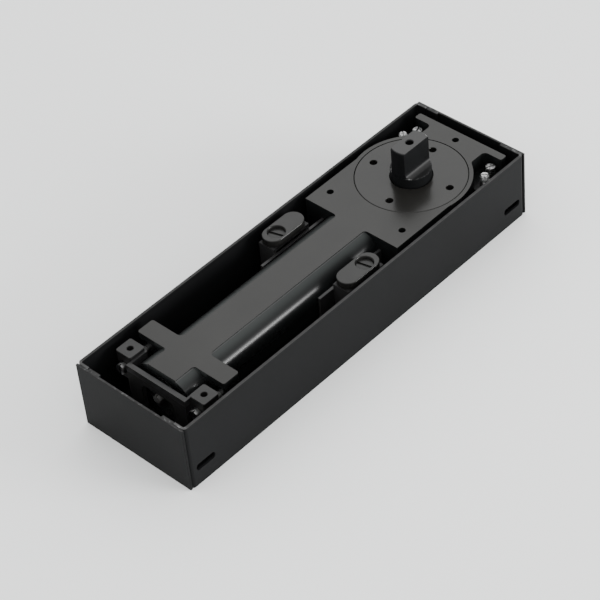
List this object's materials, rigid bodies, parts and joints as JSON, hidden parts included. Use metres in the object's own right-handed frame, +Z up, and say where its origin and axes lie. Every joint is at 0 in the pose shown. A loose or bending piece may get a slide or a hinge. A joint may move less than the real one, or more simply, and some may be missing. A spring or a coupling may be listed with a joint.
{
  "type": "floor spring door closer",
  "caption": "Floor spring door closer: hydraulic heart-cam closer with a flatted spindle, held by clamps and adjusting screws in a rectangular sheet-steel floor case.",
  "frame": {"origin": "on the spindle's axis, at the underside of the case", "axes": "+X along the case towards its short end beyond the spindle, +Y to the left side of the case, +Z up along the spindle"},
  "size_m": [0.285, 0.0816, 0.0691],
  "materials": {
    "case_paint": "satin",
    "bracket_paint": "satin",
    "body_casting": "satin",
    "cap_steel": "satin",
    "clamp_steel": "satin",
    "spindle_steel": "satin",
    "hard_steel": "ground",
    "zinc_steel": "bright zinc",
    "spring_steel": "oiled",
    "seal_rubber": "matt",
    "seal_ptfe": "satin"
  },
  "bodies": {
    "case": {"case_tray": "case_paint", "near_end_plate": "case_paint", "far_end_plate": "case_paint", "floor_rivets": "zinc_steel", "closer_body": "body_casting", "head_cap": "cap_steel", "cap_seal": "seal_rubber", "upper_bearing": "hard_steel", "lower_bearing": "hard_steel", "shaft_seal": "seal_rubber", "end_plug": "hard_steel", "plug_seal": "seal_rubber", "main_spring": "spring_steel", "near_yoke": "bracket_paint", "left_adjuster_block": "clamp_steel", "right_adjuster_block": "clamp_steel", "lengthwise_screws": "zinc_steel", "adjuster_grub_screws": "hard_steel", "left_far_bracket": "bracket_paint", "right_far_bracket": "bracket_paint", "height_screws": "zinc_steel", "fixing_screws": "zinc_steel", "left_clamp_bracket": "bracket_paint", "right_clamp_bracket": "bracket_paint", "left_clamp_screw": "clamp_steel", "right_clamp_screw": "clamp_steel"},
    "spindle": {"spindle_shaft": "spindle_steel", "heart_cam": "hard_steel", "cam_key": "hard_steel"},
    "carriage": {"upper_carriage_plate": "hard_steel", "lower_carriage_plate": "hard_steel", "carriage_pins": "hard_steel", "near_roller_pin": "hard_steel", "far_roller_pin": "hard_steel", "piston": "hard_steel", "piston_seal": "seal_ptfe", "check_ball": "hard_steel", "check_ball_pin": "hard_steel"},
    "near_roller": {"near_roller": "hard_steel"},
    "far_roller": {"far_roller": "hard_steel"},
    "left_clamp": {"left_clamp": "clamp_steel"},
    "right_clamp": {"right_clamp": "clamp_steel"},
    "closing_valve": {"closing_valve": "zinc_steel"},
    "latching_valve": {"latching_valve": "zinc_steel"}
  },
  "joints": [
    {"name": "spindle_turn", "type": "hinge", "parent": "case", "child": "spindle", "pos_m": [0, 0, 0.0234], "axis": [0, 0, 1], "range_deg": [0, 130]},
    {"name": "carriage_slide", "type": "slide", "parent": "case", "child": "carriage", "axis": [-1, 0, 0], "range_m": [0, 0.01011], "stiffness_N_per_m": 42600, "deforming": ["main_spring"]},
    {"name": "near_roller_spin", "type": "hinge", "parent": "carriage", "child": "near_roller", "pos_m": [-0.0185, 0, 0.0234], "axis": [0, 0, 1], "range_deg": [-255, 0]},
    {"name": "far_roller_spin", "type": "hinge", "parent": "carriage", "child": "far_roller", "pos_m": [0.0325, 0, 0.0234], "axis": [0, 0, 1], "range_deg": [-315, 0]},
    {"name": "left_clamp_swing", "type": "hinge", "parent": "case", "child": "left_clamp", "pos_m": [-0.0846, 0.0285, 0.04], "axis": [0, 0, -1], "range_deg": [0, 19]},
    {"name": "right_clamp_swing", "type": "hinge", "parent": "case", "child": "right_clamp", "pos_m": [-0.0734, -0.0285, 0.04], "axis": [0, 0, -1], "range_deg": [0, 19]},
    {"name": "closing_valve_turn", "type": "hinge", "parent": "case", "child": "closing_valve", "pos_m": [-0.2, 0.0042, 0.0234], "axis": [-1, 0, 0], "range_deg": [-180, 180]},
    {"name": "latching_valve_turn", "type": "hinge", "parent": "case", "child": "latching_valve", "pos_m": [-0.2, -0.0042, 0.0234], "axis": [-1, 0, 0], "range_deg": [-180, 180]}
  ],
  "couplings": [
    {"joint": "spindle_turn", "follows": "carriage_slide", "rad_per_m": 224.4},
    {"joint": "near_roller_spin", "follows": "carriage_slide", "rad_per_m": -435.33},
    {"joint": "far_roller_spin", "follows": "carriage_slide", "rad_per_m": -538.56}
  ]
}
